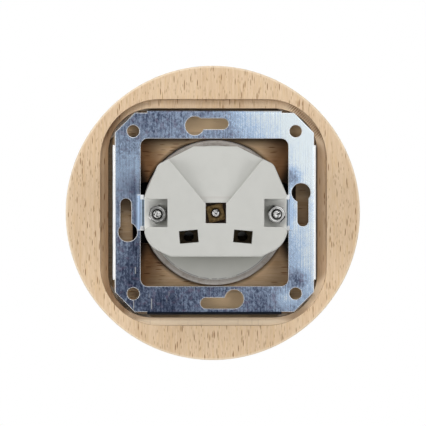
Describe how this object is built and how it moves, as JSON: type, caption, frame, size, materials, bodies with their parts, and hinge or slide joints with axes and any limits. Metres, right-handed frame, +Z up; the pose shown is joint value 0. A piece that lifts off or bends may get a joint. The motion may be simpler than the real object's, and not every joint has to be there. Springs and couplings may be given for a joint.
{
  "type": "type f wall socket",
  "caption": "Round wall socket for earthed two-pin plugs: porcelain insert on a steel mounting plate with a turned beech surround.",
  "frame": {"origin": "middle of the mounting plate's screw pattern, on the plane of the wall", "axes": "+X to the right seen from the room, +Y into the wall, +Z up"},
  "size_m": [0.1006, 0.0415, 0.1006],
  "materials": {
    "beech_front": "oiled, horizontal grain",
    "beech_back": "sanded, vertical grain",
    "zinc_plated_steel": "zinc plated, mottled",
    "steatite": "unglazed, matt",
    "glazed_porcelain": "glazed, glossy",
    "nickel_steel": "nickel plated",
    "brass": "plain brass"
  },
  "bodies": {
    "root": {"surround_front_disc": "beech_front", "surround_back_ring": "beech_back", "mounting_plate": "zinc_plated_steel", "rear_base": "steatite", "front_cover": "glazed_porcelain", "right_fixing_screw": "nickel_steel", "left_fixing_screw": "nickel_steel", "right_fixing_nut": "nickel_steel", "left_fixing_nut": "nickel_steel", "cover_screw": "nickel_steel", "cover_nut": "brass", "line_contact": "brass", "neutral_contact": "brass", "line_contact_spring": "nickel_steel", "neutral_contact_spring": "nickel_steel", "line_terminal_screw": "nickel_steel", "neutral_terminal_screw": "nickel_steel", "earth_strap": "brass", "earth_washer": "nickel_steel", "earth_terminal_screw": "nickel_steel"}
  },
  "joints": []
}
